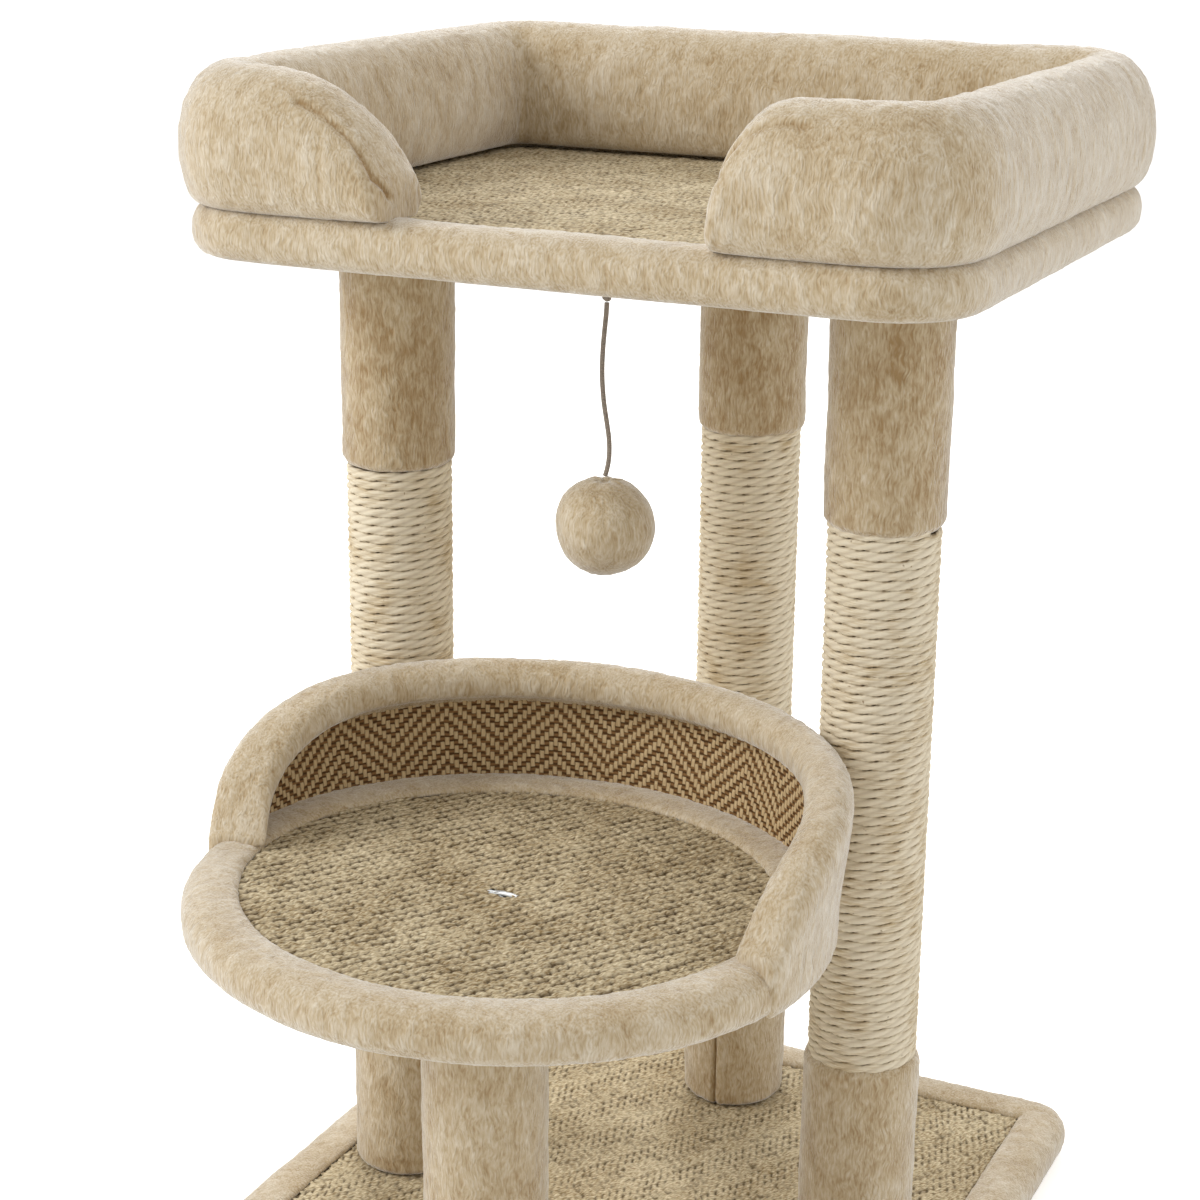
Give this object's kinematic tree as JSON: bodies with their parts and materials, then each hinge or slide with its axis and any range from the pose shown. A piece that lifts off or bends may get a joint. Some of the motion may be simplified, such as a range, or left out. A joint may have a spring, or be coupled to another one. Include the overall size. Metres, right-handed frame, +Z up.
{
  "type": "cat tree",
  "caption": "Cat tree with a plush-edged base, sisal-wound posts, a round perch with a back wall, a bolstered bed on top and a hanging toy ball.",
  "frame": {"origin": "on the floor, at the middle of the base's underside", "axes": "+Z up, +X to the right and +Y to the back, seen from the open front"},
  "size_m": [0.517, 0.646, 0.8013],
  "materials": {
    "plush": "short-pile beige plush",
    "sisal_rope": "twisted natural sisal rope",
    "sisal_mat": "coarse woven sisal",
    "herringbone": "two-tone herringbone weave",
    "chipboard": "raw board",
    "paper_tube": "kraft paper tube",
    "plug_wood": "turned wood",
    "lining_cloth": "non-woven felt",
    "foam": "open-cell foam",
    "zinc_steel": "zinc plated",
    "toy_cord": "braided cord"
  },
  "bodies": {
    "stand": {"base_board": "chipboard", "base_mat": "sisal_mat", "base_plush_wrap": "plush", "base_lining": "lining_cloth", "perch_board": "chipboard", "perch_mat": "sisal_mat", "perch_plush_wrap": "plush", "perch_lining": "lining_cloth", "bed_board": "chipboard", "bed_mat": "sisal_mat", "bed_plush_wrap": "plush", "bed_lining": "lining_cloth", "left_post_core": "paper_tube", "left_post_bottom_plug": "plug_wood", "left_post_top_plug": "plug_wood", "left_post_bottom_bolt": "zinc_steel", "left_post_top_bolt": "zinc_steel", "right_post_core": "paper_tube", "right_post_bottom_plug": "plug_wood", "right_post_top_plug": "plug_wood", "right_post_bottom_bolt": "zinc_steel", "right_post_top_bolt": "zinc_steel", "back_post_core": "paper_tube", "back_post_bottom_plug": "plug_wood", "back_post_top_plug": "plug_wood", "back_post_bottom_bolt": "zinc_steel", "back_post_top_bolt": "zinc_steel", "short_post_core": "paper_tube", "short_post_bottom_plug": "plug_wood", "short_post_top_plug": "plug_wood", "short_post_bottom_bolt": "zinc_steel", "short_post_top_bolt": "zinc_steel", "left_post_lower_sleeve": "plush", "left_post_sisal_rope": "sisal_rope", "left_post_upper_sleeve": "plush", "right_post_lower_sleeve": "plush", "right_post_sisal_rope": "sisal_rope", "right_post_upper_sleeve": "plush", "back_post_lower_sleeve": "plush", "back_post_sisal_rope": "sisal_rope", "back_post_upper_sleeve": "plush", "short_post_sleeve": "plush", "perch_wall_board": "chipboard", "perch_wall_cover": "plush", "perch_wall_lining": "herringbone", "bolster_foam": "foam", "bolster_cover": "plush", "toy_staple": "zinc_steel"},
    "hook": {"toy_loop": "toy_cord"},
    "toy": {"toy_knot": "toy_cord", "toy_cord": "toy_cord", "toy_ball": "plush"}
  },
  "joints": [
    {"name": "toy_swing_front_back", "type": "hinge", "parent": "stand", "child": "hook", "pos_m": [0, -0.036, 0.678], "axis": [1, 0, 0], "range_deg": [-45, 45]},
    {"name": "toy_swing_side", "type": "hinge", "parent": "hook", "child": "toy", "pos_m": [0, -0.036, 0.6721], "axis": [0, 1, 0], "range_deg": [-35, 35]}
  ]
}
